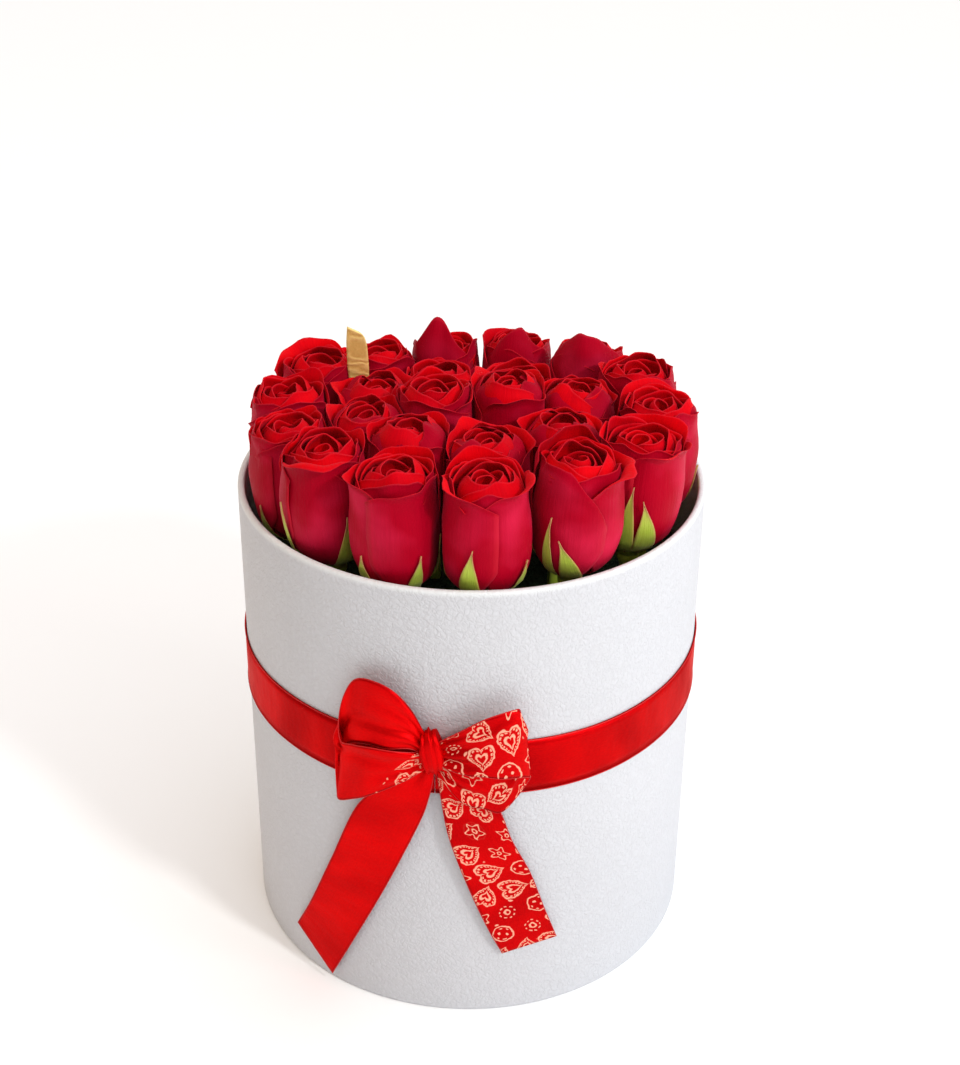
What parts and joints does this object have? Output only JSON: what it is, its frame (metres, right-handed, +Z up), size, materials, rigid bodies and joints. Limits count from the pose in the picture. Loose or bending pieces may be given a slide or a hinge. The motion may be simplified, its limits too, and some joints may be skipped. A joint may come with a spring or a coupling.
{
  "type": "flower hat box",
  "caption": "Round white hat box filled with red roses standing in foam, with a red satin ribbon round it tied in a bow.",
  "frame": {"origin": "centre of the underside of the base", "axes": "+Z up the box, -Y towards the front where the bow is, +X to the right seen from the front"},
  "size_m": [0.1938, 0.2046, 0.257],
  "materials": {
    "box_paper": "embossed matt paper",
    "liner_plastic": "smooth film",
    "floral_foam": "matt, fine open pores",
    "satin": "satin",
    "petals": "velvety",
    "stem_green": "matt",
    "gilding": "metallic gold"
  },
  "bodies": {
    "root": {"box_wall": "box_paper", "box_base": "box_paper", "liner": "liner_plastic", "foam": "floral_foam", "ribbon_band": "satin", "bow": "satin", "gold_leaf": "gilding", "rose_01_bloom": "petals", "rose_01_stem": "stem_green", "rose_02_bloom": "petals", "rose_02_stem": "stem_green", "rose_03_bloom": "petals", "rose_03_stem": "stem_green", "rose_04_bloom": "petals", "rose_04_stem": "stem_green", "rose_05_bloom": "petals", "rose_05_stem": "stem_green", "rose_06_bloom": "petals", "rose_06_stem": "stem_green", "rose_07_bloom": "petals", "rose_07_stem": "stem_green", "rose_08_bloom": "petals", "rose_08_stem": "stem_green", "rose_09_bloom": "petals", "rose_09_stem": "stem_green", "rose_10_bloom": "petals", "rose_10_stem": "stem_green", "rose_11_bloom": "petals", "rose_11_stem": "stem_green", "rose_12_bloom": "petals", "rose_12_stem": "stem_green", "rose_13_bloom": "petals", "rose_13_stem": "stem_green", "rose_14_bloom": "petals", "rose_14_stem": "stem_green", "rose_15_bloom": "petals", "rose_15_stem": "stem_green", "rose_16_bloom": "petals", "rose_16_stem": "stem_green", "rose_17_bloom": "petals", "rose_17_stem": "stem_green", "rose_18_bloom": "petals", "rose_18_stem": "stem_green", "rose_19_bloom": "petals", "rose_19_stem": "stem_green", "rose_20_bloom": "petals", "rose_20_stem": "stem_green", "rose_21_bloom": "petals", "rose_21_stem": "stem_green", "rose_22_bloom": "petals", "rose_22_stem": "stem_green", "rose_23_bloom": "petals", "rose_23_stem": "stem_green", "rose_24_bloom": "petals", "rose_24_stem": "stem_green"}
  },
  "joints": []
}
